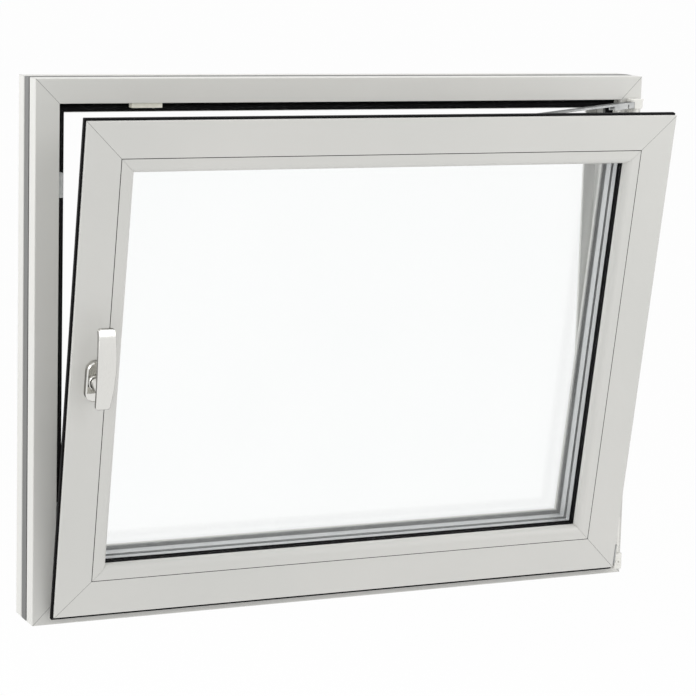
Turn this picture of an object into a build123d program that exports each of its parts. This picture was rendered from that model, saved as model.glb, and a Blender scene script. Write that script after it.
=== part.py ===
from build123d import *
import os
from math import radians, sin, sqrt

# Tilt and turn window of thermally broken aluminium profiles, seen from the room side, with
# its sash tilted inward. Millimetres. X runs to the right across the window, Y from the room
# to the outside, Z up. The origin is on the underside of the frame, midway along the sill and
# midway through the frame's depth.

# Outer frame
WINDOW_WIDTH = 1100.0
WINDOW_HEIGHT = 890.0
FRAME_DEPTH = 90.0
FRAME_FACE = 40.0
FRAME_ROOM_SHELL = 32.0
FRAME_OUTER_SHELL = 28.0
FRAME_LEG_REACH = 61.0
FRAME_LEG_THICKNESS = 6.0

# Sash, whose face stands proud of the frame's face when it is shut
SASH_OVERLAP = 11.0
SASH_PROUD = 14.0
SASH_FACE = 60.0
SASH_DEPTH = 91.0
SASH_FLANGE = 22.0
SASH_FLANGE_THICKNESS = 5.5
SASH_ROOM_SHELL = 30.0
SASH_OUTER_SHELL = 24.0
SASH_OUTER_SETBACK = 9.0
GLAZING_LEG_THICKNESS = 9.0
GLAZING_LEG_REACH = 23.0

# Walls, edges and insulating strips
SHELL_WALL = 2.0
MITRE_GAP = 0.3
EDGE_RADIUS = 1.0
STRIP_THICKNESS = 3.0
STRIP_RECESS = 2.0
STRIP_GROOVE = 4.0

# Hardware grooves
GROOVE_MOUTH = 14.0
GROOVE_WIDTH = 18.0
GROOVE_LIP = 2.0
GROOVE_DEPTH = 5.0
FRAME_GROOVE_CENTRE = 12.5
SASH_GROOVE_CENTRE = 16.5

# Glazing
BEAD_FACE = 24.0
BEAD_DEPTH = 26.0
BEAD_WALL = 1.8
BEAD_ROUND = 11.0
BEAD_EDGE_RADIUS = 0.6
GLASS_EDGE_CLEARANCE = 8.0
PANES = 3
PANE_THICKNESS = 4.0
PANE_GAP = 18.0
SPACER_HEIGHT = 7.0
SPACER_INSET = 5.0
GLAZING_GASKET = 4.0
GLAZING_GASKET_HEIGHT = 8.0
GLAZING_GASKET_PROUD = 1.2

# Seals between sash and frame: one in the frame's rebate, one under the sash's flange
REBATE_GASKET_DEPTH = 28.0
REBATE_GASKET_REACH = 15.0
REBATE_GASKET_BASE = 2.5
REBATE_GASKET_LIP = 6.0
OVERLAP_GASKET_PROUD = 2.0
OVERLAP_GASKET_WIDTH = 7.0

# The tilt: the sash leans into the room about a pin at its lower hinge corner. As it tilts, the
# lower hinge also lets it out of the frame and down, so the pin's place is given by itself
TILT_ANGLE = 10.0
TILT_EYE_RISE = 9.0
TILT_EYE_BACK = 5.0
TILT_PIN_RISE = 27.0
TILT_PIN_OUT = 21.0

# Handle on the left stile
HANDLE_BACKSET = 40.0
HANDLE_RISE = 411.0
ROSETTE_WIDTH = 32.0
ROSETTE_HEIGHT = 68.0
ROSETTE_THICKNESS = 11.0
ROSETTE_EDGE = 2.0
COLLAR_DIAMETER = 26.0
COLLAR_THICKNESS = 3.0
NECK_DIAMETER = 19.0
NECK_END_DIAMETER = 14.0
NECK_CLEARANCE = 0.3
NECK_DROP = 12.0
SPINDLE_SIDE = 7.0
SPINDLE_LENGTH = 24.0
SPINDLE_BORE = 11.0
LEVER_LENGTH = 132.0
LEVER_TAIL = 32.0
LEVER_WIDTH = 30.0
LEVER_TIP_WIDTH = 27.0
LEVER_TAIL_WIDTH = 23.0
LEVER_THICKNESS = 8.0
LEVER_STANDOFF = 46.0
LEVER_BOW = 8.0
LEVER_TIP_LENGTH = 16.0
LEVER_TIP_BACK = 9.0
LEVER_CORNER = 5.0
LEVER_EDGE = 1.0

# Strikes clamped in the frame's hardware groove
STRIKE_LENGTH = 52.0
JAMB_STRIKE_LENGTH = 40.0
STRIKE_HEIGHT = 8.0
STRIKE_WIDTH = 13.5
STRIKE_FOOT = 3.0
STRIKE_THROAT = 6.0
STRIKE_PLAY = 0.5
HEAD_STRIKE_FROM_LEFT = 188.0
JAMB_STRIKE_FROM_TOP = 180.0
JAMB_STRIKE_FROM_BOTTOM = 170.0
SILL_STRIKE_FROM_LEFT = 188.0

# Locking gear in the sash's hardware groove
FACEPLATE_THICKNESS = 2.0
FACEPLATE_WIDTH = 16.0
FACEPLATE_END_GAP = 25.0
CAM_DIAMETER = 8.0
CAM_HEIGHT = 6.0
CAM_FROM_END = 45.0

# Hinge side
HINGE_INSET = 19.0
HINGE_STANDOFF = 11.0
BARREL_DIAMETER = 14.0
HINGE_PLATE = 2.5
HINGE_PLATE_WIDTH = 16.0
HINGE_PIN_DIAMETER = 6.0
HINGE_PLAY = 0.2
STAY_BARREL_LENGTH = 58.0
STAY_BARREL_TOP = 54.0
CORNER_BARREL_LENGTH = 64.0
CORNER_BARREL_BOTTOM = 42.0
CORNER_FOOT_BOTTOM = 14.0
TILT_PIN_DIAMETER = 5.0
CORNER_TAB_THICKNESS = 2.5
CORNER_TAB_HEIGHT = 34.0
CORNER_EYE_DIAMETER = 10.0
CORNER_SCREW_DIAMETER = 10.0
CORNER_SCREW_KEY = 4.5
REBATE_BLOCK_THICKNESS = 4.0
REBATE_BLOCK_WIDTH = 9.5
REBATE_BLOCK_HEIGHT = 26.0
REBATE_BLOCK_SPACING = 1.0

# Stay arm from the upper hinge to the top rail
STAY_LENGTH = 390.0
STAY_WIDTH = 14.0
STAY_THICKNESS = 3.5
STAY_CHANNEL_LENGTH = 62.0
STAY_CHANNEL_DEPTH = 7.0
STAY_CHANNEL_WALL = 2.0
STAY_SLOT_WIDTH = 3.0
STAY_EYE_DIAMETER = 15.0
STAY_EYE_HEIGHT = 12.0
STAY_CAP_LENGTH = 24.0
STAY_CAP_WIDTH = 20.0
STAY_CAP_ROOF = 4.0
STAY_CAP_HOOK = 4.0
SLIDER_LENGTH = 44.0
SLIDER_HEIGHT = 5.0

# Drainage slots through the outer wall of the sill
DRAIN_LENGTH = 30.0
DRAIN_HEIGHT = 5.0
DRAIN_RISE = 12.0
DRAIN_FROM_MIDDLE = 330.0

# Values worked out from the sizes above
ROOM_FACE = -FRAME_DEPTH / 2
OUTER_FACE = FRAME_DEPTH / 2
SASH_EDGE = FRAME_FACE - SASH_OVERLAP
SASH_WIDTH = WINDOW_WIDTH - 2 * SASH_EDGE
SASH_HEIGHT = WINDOW_HEIGHT - 2 * SASH_EDGE
SASH_ROOM_FACE = ROOM_FACE - SASH_PROUD
CENTRE_HEIGHT = WINDOW_HEIGHT / 2
TILT_EYE = (0.0, SASH_ROOM_FACE + TILT_EYE_BACK, SASH_EDGE + TILT_EYE_RISE)
TILT_PIN = (0.0, ROOM_FACE - TILT_PIN_OUT, TILT_PIN_RISE)
TILT = Pos(*TILT_PIN) * Rot(TILT_ANGLE, 0, 0) * Pos(*(-value for value in TILT_EYE))
GLASS_FACE = SASH_ROOM_FACE + BEAD_DEPTH + GLAZING_GASKET
GLASS_EDGE = SASH_EDGE + SASH_FACE + GLASS_EDGE_CLEARANCE
PANE_PITCH = PANE_THICKNESS + PANE_GAP
HINGE_X = WINDOW_WIDTH / 2 - HINGE_INSET
HINGE_Y = ROOM_FACE - HINGE_STANDOFF
STAY_EYE_BOTTOM = WINDOW_HEIGHT - STAY_BARREL_TOP
SIDES = {"sill": 0, "left": 90, "head": 180, "right": 270}


def rectangle(u_from, u_to, y_from, y_to):
    """Rectangle of a profile's section: u runs inward from the outer edge, y to the outside."""
    return Pos((u_from + u_to) / 2, (y_from + y_to) / 2) * Rectangle(u_to - u_from, y_to - y_from)


def eased(section, width):
    """Takes every sharp corner off a section."""
    return chamfer(section.vertices(), width)


def member(section, side, width, height, gap=0.0):
    """Runs a section along one side of a rectangle and mitres both ends at 45 degrees.

    The section's u is measured inward from the rectangle's edge, its y is the depth. The
    rectangle stands upright about the window's centre. Half the gap comes off at each mitre.
    """
    length, across = (width, height) if side in ("sill", "head") else (height, width)
    start = Plane(origin=(length / 2, 0, -across / 2), x_dir=(0, 0, 1), z_dir=(-1, 0, 0))
    bar = extrude(start * section, amount=length)
    half = length / 2 - gap / sqrt(2)
    low = -across / 2
    reach = min(half, across / 2)
    corners = [(-half, low), (half, low), (half - reach, low + reach), (reach - half, low + reach)]
    corners = corners[:3] if reach == half else corners
    wedge = make_face(Polyline(*corners, close=True))
    wedge = extrude(Plane.XZ * wedge, amount=2 * FRAME_DEPTH, both=True)
    placed = Rot(0, SIDES[side], 0) * (bar & wedge)
    return Pos(0, 0, CENTRE_HEIGHT) * placed


def ring(section, width, height):
    """One closed ring of a section, such as a seal bent round the corners."""
    sides = [member(section, side, width, height) for side in SIDES]
    return sides[0].fuse(*sides[1:]).clean()


def tilted(shape):
    """Leans a shape of the shut sash into the room, its eye on the lower hinge's pin."""
    return TILT * shape


def hardware_groove(edge, centre, inward):
    """Undercut groove that opens at u = edge and runs into the wall, inward being 1 or -1."""
    mouth_end = edge + inward * GROOVE_LIP
    floor = edge + inward * GROOVE_DEPTH
    half_mouth, half_width = GROOVE_MOUTH / 2, GROOVE_WIDTH / 2
    low, high = sorted((edge, mouth_end))
    mouth = rectangle(low, high, centre - half_mouth, centre + half_mouth)
    low, high = sorted((mouth_end, floor))
    return mouth + rectangle(low, high, centre - half_width, centre + half_width)


def frame_shells():
    """Room-side and outer aluminium shells of the frame's profile."""
    depth = FRAME_ROOM_SHELL
    room = eased(rectangle(0, FRAME_FACE, ROOM_FACE, ROOM_FACE + depth), EDGE_RADIUS)
    floor = FRAME_FACE - GROOVE_DEPTH
    front, back = ROOM_FACE + SHELL_WALL, ROOM_FACE + depth - SHELL_WALL
    chamber = rectangle(SHELL_WALL, floor - SHELL_WALL, front, back)
    groove = hardware_groove(FRAME_FACE, ROOM_FACE + FRAME_GROOVE_CENTRE, -1)
    room = room - chamber - groove
    box_start = OUTER_FACE - FRAME_OUTER_SHELL
    outer = eased(rectangle(0, FRAME_FACE, box_start, OUTER_FACE), EDGE_RADIUS)
    root = FRAME_FACE - SHELL_WALL
    leg = rectangle(root, FRAME_LEG_REACH, OUTER_FACE - FRAME_LEG_THICKNESS, OUTER_FACE)
    outer += chamfer(leg.vertices().group_by(Axis.X)[-1], EDGE_RADIUS)
    outer -= rectangle(SHELL_WALL, root, box_start + SHELL_WALL, OUTER_FACE - SHELL_WALL)
    return room, outer


def frame_strips():
    """Insulating strips between the frame's two shells, one near each edge of the profile."""
    start = ROOM_FACE + FRAME_ROOM_SHELL
    end = OUTER_FACE - FRAME_OUTER_SHELL
    outside = rectangle(STRIP_RECESS, STRIP_RECESS + STRIP_THICKNESS, start, end)
    outside += rectangle(0, STRIP_RECESS + STRIP_THICKNESS, start + STRIP_GROOVE, end - STRIP_GROOVE)
    inside = rectangle(FRAME_FACE - STRIP_THICKNESS, FRAME_FACE, start, end)
    return outside, inside


def rebate_gasket():
    """Seal on the frame's rebate, which the back of the sash's room shell meets when it is shut."""
    base = ROOM_FACE + REBATE_GASKET_DEPTH
    tip = FRAME_FACE + REBATE_GASKET_REACH
    lip_tip = base - REBATE_GASKET_LIP
    foot = rectangle(FRAME_FACE, tip, base - REBATE_GASKET_BASE, base)
    outline = Polyline(
        (tip, base - REBATE_GASKET_BASE / 2),
        (tip - REBATE_GASKET_LIP, lip_tip),
        (tip - REBATE_GASKET_LIP - REBATE_GASKET_BASE, lip_tip),
        (FRAME_FACE + REBATE_GASKET_BASE, base - REBATE_GASKET_BASE / 2),
        close=True,
    )
    return foot + make_face(outline)


def sash_shells():
    """Room-side and outer aluminium shells of the sash's profile."""
    face = SASH_ROOM_FACE
    room = eased(rectangle(SASH_FLANGE, SASH_FACE, face, face + SASH_ROOM_SHELL), BEAD_EDGE_RADIUS)
    flange = rectangle(0, SASH_FLANGE + SHELL_WALL, face, face + SASH_FLANGE_THICKNESS)
    room += chamfer(flange.vertices().group_by(Axis.X)[0], EDGE_RADIUS)
    floor = SASH_FLANGE + GROOVE_DEPTH
    room -= rectangle(
        floor + SHELL_WALL, SASH_FACE - SHELL_WALL, face + SHELL_WALL, face + SASH_ROOM_SHELL - SHELL_WALL
    )
    room -= hardware_groove(SASH_FLANGE, face + SASH_GROOVE_CENTRE, 1)
    end = face + SASH_DEPTH
    start = end - SASH_OUTER_SHELL
    edge = SASH_FLANGE + SASH_OUTER_SETBACK
    outer = eased(rectangle(edge, SASH_FACE, start, end), EDGE_RADIUS)
    leg = rectangle(
        SASH_FACE - SHELL_WALL, SASH_FACE + GLAZING_LEG_REACH, end - GLAZING_LEG_THICKNESS, end
    )
    outer += chamfer(leg.vertices().group_by(Axis.X)[-1], EDGE_RADIUS)
    outer -= rectangle(edge + SHELL_WALL, SASH_FACE - SHELL_WALL, start + SHELL_WALL, end - SHELL_WALL)
    return room, outer


def sash_strips():
    """Insulating strips between the sash's two shells."""
    start = SASH_ROOM_FACE + SASH_ROOM_SHELL
    end = SASH_ROOM_FACE + SASH_DEPTH - SASH_OUTER_SHELL
    edge = SASH_FLANGE + SASH_OUTER_SETBACK
    rebate = rectangle(edge, edge + STRIP_THICKNESS, start, end)
    glazing = rectangle(SASH_FACE - STRIP_THICKNESS, SASH_FACE, start, end)
    return rebate, glazing


def overlap_gasket():
    """Seal under the sash's flange, which lands on the frame's face when the sash is shut."""
    start = SASH_ROOM_FACE + SASH_FLANGE_THICKNESS
    low = -OVERLAP_GASKET_PROUD
    return eased(rectangle(low, low + OVERLAP_GASKET_WIDTH, start, ROOM_FACE), EDGE_RADIUS)


def bead():
    """Tubular glazing bead with a rounded edge towards the glass."""
    face = SASH_ROOM_FACE
    block = rectangle(SASH_FACE, SASH_FACE + BEAD_FACE, face, face + BEAD_DEPTH)
    room_side = block.vertices().group_by(Axis.Y)[0].sort_by(Axis.X)
    block = fillet(room_side[-1], BEAD_ROUND)
    block = fillet(block.vertices().group_by(Axis.Y)[0].sort_by(Axis.X)[0], BEAD_EDGE_RADIUS)
    return block - offset(block, -BEAD_WALL)


def glazing_gaskets():
    """Inner gasket under the bead and outer gasket on the sash's leg."""
    low = SASH_FACE + BEAD_FACE - GLAZING_GASKET_HEIGHT
    high = SASH_FACE + BEAD_FACE + GLAZING_GASKET_PROUD
    inner = rectangle(low, high, GLASS_FACE - GLAZING_GASKET, GLASS_FACE)
    glass_back = GLASS_FACE + (PANES - 1) * PANE_PITCH + PANE_THICKNESS
    leg_start = SASH_ROOM_FACE + SASH_DEPTH - GLAZING_LEG_THICKNESS
    leg_top = SASH_FACE + GLAZING_LEG_REACH
    outer = rectangle(
        leg_top - GLAZING_GASKET_HEIGHT, leg_top + GLAZING_GASKET_PROUD, glass_back, leg_start
    )
    return inner, outer


def pane(number):
    """One sheet of the triple glazing unit, counted from the room."""
    width = WINDOW_WIDTH - 2 * GLASS_EDGE
    height = WINDOW_HEIGHT - 2 * GLASS_EDGE
    middle = GLASS_FACE + number * PANE_PITCH + PANE_THICKNESS / 2
    return Pos(0, middle, CENTRE_HEIGHT) * Box(width, PANE_THICKNESS, height)


def spacer(number):
    """Spacer bars between two neighbouring panes, as one bent frame."""
    start = GLASS_FACE + number * PANE_PITCH + PANE_THICKNESS
    low = SPACER_INSET
    section = rectangle(low, low + SPACER_HEIGHT, start, start + PANE_GAP)
    return ring(section, WINDOW_WIDTH - 2 * GLASS_EDGE, WINDOW_HEIGHT - 2 * GLASS_EDGE)


def strike(length=STRIKE_LENGTH):
    """Strike with an open throat for the locking cam.

    It lies along X with its foot at z = 0 on the groove's lips, and stands up into the rebate.
    """
    body = Pos(0, 0, STRIKE_HEIGHT / 2) * Box(length, STRIKE_WIDTH, STRIKE_HEIGHT)
    body = fillet(body.edges().filter_by(Axis.Y).group_by(Axis.Z)[-1], EDGE_RADIUS)
    throat_height = STRIKE_HEIGHT - STRIKE_FOOT
    throat = Box(length / 2, STRIKE_THROAT, throat_height)
    body -= Pos(length / 4, 0, STRIKE_HEIGHT - throat_height / 2) * throat
    key_width = GROOVE_MOUTH - 2 * STRIKE_PLAY
    key = Pos(0, 0, -GROOVE_DEPTH / 2) * Box(length / 2, key_width, GROOVE_DEPTH)
    return body + key


def on_frame(shape, side, along):
    """Puts a piece that lies along X on the frame's hardware groove, along mm from the middle."""
    across = WINDOW_HEIGHT if side in ("sill", "head") else WINDOW_WIDTH
    seat = FRAME_FACE - across / 2
    placed = Pos(along, ROOM_FACE + FRAME_GROOVE_CENTRE, seat) * shape
    return Pos(0, 0, CENTRE_HEIGHT) * Rot(0, SIDES[side], 0) * placed


def on_sash(shape, side, along):
    """Puts a piece that lies along X in the sash's hardware groove, its back on the lips."""
    across = WINDOW_HEIGHT if side in ("sill", "head") else WINDOW_WIDTH
    seat = SASH_EDGE + SASH_FLANGE - across / 2
    placed = Pos(along, SASH_ROOM_FACE + SASH_GROOVE_CENTRE, seat) * shape
    return Pos(0, 0, CENTRE_HEIGHT) * Rot(0, SIDES[side], 0) * placed


def faceplate(side, cams):
    """Flat bar over the sash's hardware groove, with locking cams this far from its middle."""
    across = SASH_WIDTH if side in ("sill", "head") else SASH_HEIGHT
    length = across - 2 * (SASH_FLANGE + FACEPLATE_END_GAP)
    outward = (Align.CENTER, Align.CENTER, Align.MAX)
    plate = Box(length, FACEPLATE_WIDTH, FACEPLATE_THICKNESS, align=outward)
    plate = fillet(plate.edges().filter_by(Axis.Z), FACEPLATE_WIDTH / 3)
    cam = Cylinder(CAM_DIAMETER / 2, CAM_HEIGHT, align=outward)
    reach = length / 2 - CAM_FROM_END
    for sign in cams:
        plate += Pos(sign * reach, 0, -FACEPLATE_THICKNESS) * cam
    return on_sash(plate, side, 0)


def handle_place():
    """Point on the left stile's face where the handle's axis comes through."""
    x = -WINDOW_WIDTH / 2 + SASH_EDGE + HANDLE_BACKSET
    return Pos(x, SASH_ROOM_FACE, SASH_EDGE + HANDLE_RISE)


def rosette():
    """Oval handle base screwed to the stile."""
    outline = SlotCenterToCenter(ROSETTE_HEIGHT - ROSETTE_WIDTH, ROSETTE_WIDTH)
    body = extrude(Plane.XZ * Rot(0, 0, 90) * outline, amount=ROSETTE_THICKNESS)
    front = body.faces().sort_by(Axis.Y)[0]
    body = chamfer(front.edges(), ROSETTE_EDGE)
    thickness = ROSETTE_THICKNESS + COLLAR_THICKNESS
    body += extrude(Plane.XZ * Circle(COLLAR_DIAMETER / 2), amount=thickness)
    rim = body.edges().filter_by(GeomType.CIRCLE).sort_by(Axis.Y)[0]
    body = chamfer(rim, COLLAR_THICKNESS / 3)
    return body - extrude(Plane.XZ * Circle(NECK_DIAMETER / 2 + NECK_CLEARANCE), amount=thickness)


def lever_grip():
    """Broad grip, bowed away from the sash, whose tip bends back towards it."""
    low, high = -LEVER_TAIL, LEVER_LENGTH - LEVER_TAIL
    bend = high - LEVER_TIP_LENGTH
    middle = (low + bend) / 2
    out = -LEVER_STANDOFF
    bow = ThreePointArc((out, low), (out - LEVER_BOW, middle), (out, bend))
    tip = TangentArc(bow @ 1, (out + LEVER_TIP_BACK, high), tangent=bow % 1)
    profile = trace(bow + tip, LEVER_THICKNESS)
    tail_half, half, tip_half = LEVER_TAIL_WIDTH / 2, LEVER_WIDTH / 2, LEVER_TIP_WIDTH / 2
    outline = make_face([
        ThreePointArc((tail_half, low), (half, middle), (tip_half, high)),
        Line((tip_half, high), (-tip_half, high)),
        ThreePointArc((-tip_half, high), (-half, middle), (-tail_half, low)),
        Line((-tail_half, low), (tail_half, low)),
    ])
    outline = fillet(outline.vertices(), LEVER_CORNER)
    reach = LEVER_STANDOFF + LEVER_BOW + LEVER_THICKNESS
    grip = extrude(Plane.YZ * profile, amount=LEVER_WIDTH, both=True)
    grip &= extrude(Plane.XZ * outline, amount=reach)
    return chamfer(grip.edges(), LEVER_EDGE)


def handle_lever():
    """Lever with its neck: the neck turns in the rosette and slants to the grip's lower half."""
    root = extrude(Plane.XZ * Circle(NECK_DIAMETER / 2), amount=ROSETTE_THICKNESS + COLLAR_THICKNESS)
    start = root.faces().sort_by(Axis.Y)[0]
    seat = LEVER_STANDOFF - LEVER_THICKNESS / 2 - EDGE_RADIUS
    end = Plane.XZ.offset(seat) * Circle(NECK_END_DIAMETER / 2)
    neck = loft([start, (Pos(0, 0, -NECK_DROP) * end).face()])
    to_grip = (Align.CENTER, Align.MAX, Align.CENTER)
    pad = Box(NECK_END_DIAMETER, LEVER_THICKNESS, NECK_END_DIAMETER, align=to_grip)
    neck += Pos(0, -seat, -NECK_DROP) * pad
    return Pos(0, -NECK_CLEARANCE, 0) * root + neck + lever_grip()


def spindle():
    """Square spindle from the neck into the gear inside the stile."""
    return Pos(0, -NECK_CLEARANCE, 0) * Box(
        SPINDLE_SIDE, SPINDLE_LENGTH, SPINDLE_SIDE, align=(Align.CENTER, Align.MIN, Align.CENTER)
    )


def spindle_bore():
    """Hole through the stile's room shell for the spindle."""
    return extrude(Plane.XZ * Circle(SPINDLE_BORE / 2), amount=SASH_ROOM_SHELL, both=True)


def upright(diameter, low, high):
    """Round bar or barrel on the hinge line, between two heights."""
    bar = Cylinder(diameter / 2, high - low, align=(Align.CENTER, Align.CENTER, Align.MIN))
    return Pos(HINGE_X, HINGE_Y, low) * bar


def hinge_plate(low, high):
    """Plate screwed to the right jamb's face behind a barrel, with the web that carries it."""
    height = high - low
    base = (Align.CENTER, Align.MAX, Align.MIN)
    plate = Box(HINGE_PLATE_WIDTH, HINGE_PLATE, height, align=base)
    web = Box(BARREL_DIAMETER, HINGE_STANDOFF, height, align=base)
    return Pos(HINGE_X, ROOM_FACE, low) * (plate + web)


def rebate_blocks():
    """Two blocks beside the groove of the right jamb, which take the stay's screws."""
    seat = WINDOW_WIDTH / 2 - FRAME_FACE
    inward = (Align.MAX, Align.MIN, Align.MAX)
    block = Box(REBATE_BLOCK_THICKNESS, REBATE_BLOCK_WIDTH, REBATE_BLOCK_HEIGHT, align=inward)
    block = chamfer(block.edges().filter_by(Axis.X), EDGE_RADIUS)
    start = ROOM_FACE + EDGE_RADIUS + STRIKE_PLAY
    second = start + REBATE_BLOCK_WIDTH + REBATE_BLOCK_SPACING
    return [Pos(seat, y, STAY_EYE_BOTTOM) * block for y in (start, second)]


def stay_hinge():
    """Upper hinge on the frame: its bearing, and the pin on which the stay arm swings."""
    low, high = STAY_EYE_BOTTOM - STAY_BARREL_LENGTH, STAY_EYE_BOTTOM - HINGE_PLAY
    bearing = hinge_plate(low, high) + upright(BARREL_DIAMETER, low, high)
    bearing -= upright(HINGE_PIN_DIAMETER, low, high)
    pin_top = STAY_EYE_BOTTOM + STAY_EYE_HEIGHT + STAY_CAP_ROOF / 2
    return Compound([bearing, *rebate_blocks()]), upright(HINGE_PIN_DIAMETER, low, pin_top)


def slider_top():
    """Middle of the slider's top face on the tilted sash, where the stay arm ends."""
    y = SASH_ROOM_FACE + SASH_GROOVE_CENTRE
    z = WINDOW_HEIGHT - SASH_EDGE - SASH_FLANGE + FACEPLATE_THICKNESS + SLIDER_HEIGHT
    place = (TILT * Pos(0, y, z)).position
    run = sqrt(STAY_LENGTH**2 - (place.Y - HINGE_Y) ** 2)
    return Vector(HINGE_X - run, place.Y, place.Z)


def slider():
    """Block that runs along the top rail and carries the far end of the stay arm."""
    outward = (Align.CENTER, Align.CENTER, Align.MAX)
    block = Box(SLIDER_LENGTH, FACEPLATE_WIDTH, SLIDER_HEIGHT, align=outward)
    block = fillet(block.edges().filter_by(Axis.Z), EDGE_RADIUS)
    return on_sash(Pos(0, 0, -FACEPLATE_THICKNESS) * block, "head", -slider_top().X)


def stay_line():
    """Plane under the stay arm, from the hinge line to the arm's end just above the slider."""
    root = Vector(HINGE_X, HINGE_Y, STAY_EYE_BOTTOM + STAY_EYE_HEIGHT - STAY_THICKNESS)
    edge_rise = FACEPLATE_WIDTH / 2 * sin(radians(TILT_ANGLE))
    along = slider_top() + Vector(0, 0, edge_rise + HINGE_PLAY) - root
    upward = along.cross(Vector(0, 0, 1)).cross(along)
    return Plane(origin=root, x_dir=along, z_dir=upward), along.length


def stay_arm():
    """Flat arm that holds the sash's head, with a folded channel and an eye at its root."""
    line, length = stay_line()
    to_far = (Align.MIN, Align.CENTER, Align.MIN)
    bar = Box(length + STAY_WIDTH / 2, STAY_WIDTH, STAY_THICKNESS, align=to_far)
    bar = fillet(bar.edges().filter_by(Axis.Z), STAY_WIDTH / 2 - EDGE_RADIUS)
    hanging = (Align.MIN, Align.CENTER, Align.MAX)
    channel = Box(STAY_CHANNEL_LENGTH, STAY_WIDTH, STAY_CHANNEL_DEPTH, align=hanging)
    hollow_width = STAY_WIDTH - 2 * STAY_CHANNEL_WALL
    channel -= Box(STAY_CHANNEL_LENGTH, hollow_width, STAY_CHANNEL_DEPTH, align=hanging)
    slot = Box(STAY_SLOT_WIDTH, STAY_WIDTH, STAY_CHANNEL_DEPTH, align=hanging)
    channel -= Pos(STAY_CAP_LENGTH, 0, 0) * slot
    eye_top = STAY_EYE_BOTTOM + STAY_EYE_HEIGHT
    arm = line * (bar + channel) + upright(STAY_EYE_DIAMETER, STAY_EYE_BOTTOM, eye_top)
    bore = HINGE_PIN_DIAMETER + 2 * HINGE_PLAY
    return arm - upright(bore, STAY_EYE_BOTTOM - STAY_EYE_HEIGHT, eye_top + STAY_EYE_HEIGHT)


def stay_cap():
    """Moulded cap over the stay's eye and pin, with a hook towards the frame's edge."""
    inner_top = STAY_EYE_BOTTOM + STAY_EYE_HEIGHT + HINGE_PLAY
    height = inner_top + STAY_CAP_ROOF - STAY_EYE_BOTTOM
    base = (Align.CENTER, Align.CENTER, Align.MIN)
    cap = Box(STAY_CAP_LENGTH, STAY_CAP_WIDTH, height, align=base)
    cap = fillet(cap.edges().filter_by(Axis.Z), STAY_CAP_WIDTH / 4)
    cap = chamfer(cap.edges().group_by(Axis.Z)[-1], EDGE_RADIUS)
    hook = Box(2 * STAY_CAP_HOOK, STAY_CAP_HOOK, STAY_CAP_HOOK, align=base)
    cap += Pos(STAY_CAP_LENGTH / 2, 0, height - STAY_CAP_ROOF) * hook
    cap = Pos(HINGE_X, HINGE_Y, STAY_EYE_BOTTOM) * cap
    cap -= upright(STAY_EYE_DIAMETER + 2 * HINGE_PLAY, STAY_EYE_BOTTOM, inner_top)
    line, _ = stay_line()
    mouth_top = STAY_THICKNESS + HINGE_PLAY
    mouth = Box(
        STAY_CAP_LENGTH,
        STAY_WIDTH + 2 * HINGE_PLAY,
        STAY_EYE_HEIGHT + mouth_top,
        align=(Align.MIN, Align.CENTER, Align.MAX),
    )
    cap -= line * Pos(0, 0, mouth_top) * mouth
    pin_top = STAY_EYE_BOTTOM + STAY_EYE_HEIGHT + STAY_CAP_ROOF / 2
    return cap - upright(HINGE_PIN_DIAMETER, STAY_EYE_BOTTOM, pin_top)


def corner_hinge():
    """Lower hinge on the frame: its bearing with a foot, and the tilt pin held in the foot."""
    low, high = CORNER_BARREL_BOTTOM, CORNER_BARREL_BOTTOM + CORNER_BARREL_LENGTH
    bearing = hinge_plate(CORNER_FOOT_BOTTOM, high) + upright(BARREL_DIAMETER, low, high)
    foot_depth = TILT_PIN_OUT + TILT_PIN_DIAMETER
    to_room = (Align.CENTER, Align.MAX, Align.MIN)
    foot = Box(BARREL_DIAMETER, foot_depth, low - CORNER_FOOT_BOTTOM, align=to_room)
    foot = chamfer(foot.edges().group_by(Axis.Y)[0], EDGE_RADIUS)
    bearing += Pos(HINGE_X, ROOM_FACE, CORNER_FOOT_BOTTOM) * foot
    screw_place = Pos(HINGE_X, ROOM_FACE - foot_depth, TILT_PIN_RISE)
    head = Circle(CORNER_SCREW_DIAMETER / 2)
    key = RegularPolygon(CORNER_SCREW_KEY / 2, 6)
    bearing += screw_place * extrude(Plane.XZ * head, amount=EDGE_RADIUS)
    bearing -= screw_place * extrude(Plane.XZ * key, amount=EDGE_RADIUS, both=True)
    reach = HINGE_X - WINDOW_WIDTH / 2 + SASH_EDGE
    pin = extrude(Plane.ZY * Circle(TILT_PIN_DIAMETER / 2), amount=reach)
    pin = Pos(HINGE_X, ROOM_FACE - TILT_PIN_OUT, TILT_PIN_RISE) * pin
    return bearing - pin, pin


def eye_disc(diameter, thickness):
    """Disc about the eye's axis, from the sash's hinge-side edge outwards."""
    disc = extrude(Plane.YZ * Circle(diameter / 2), amount=thickness)
    return Pos(WINDOW_WIDTH / 2 - SASH_EDGE, 0, 0) * Pos(*TILT_EYE) * disc


def corner_tab():
    """Tab on the sash's lower hinge corner, with the eye that rides on the tilt pin."""
    away = (Align.MIN, Align.MIN, Align.MIN)
    strap = Box(CORNER_TAB_THICKNESS, SASH_FLANGE_THICKNESS, CORNER_TAB_HEIGHT, align=away)
    strap = Pos(WINDOW_WIDTH / 2 - SASH_EDGE, SASH_ROOM_FACE, TILT_EYE[2]) * strap
    tab = strap + eye_disc(CORNER_EYE_DIAMETER, CORNER_TAB_THICKNESS)
    return tab - eye_disc(TILT_PIN_DIAMETER + 2 * HINGE_PLAY, CORNER_TAB_THICKNESS)


def tab_notch():
    """Room that the seal under the flange leaves for the tab's eye."""
    return eye_disc(CORNER_EYE_DIAMETER + 2 * HINGE_PLAY, OVERLAP_GASKET_PROUD)


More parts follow.
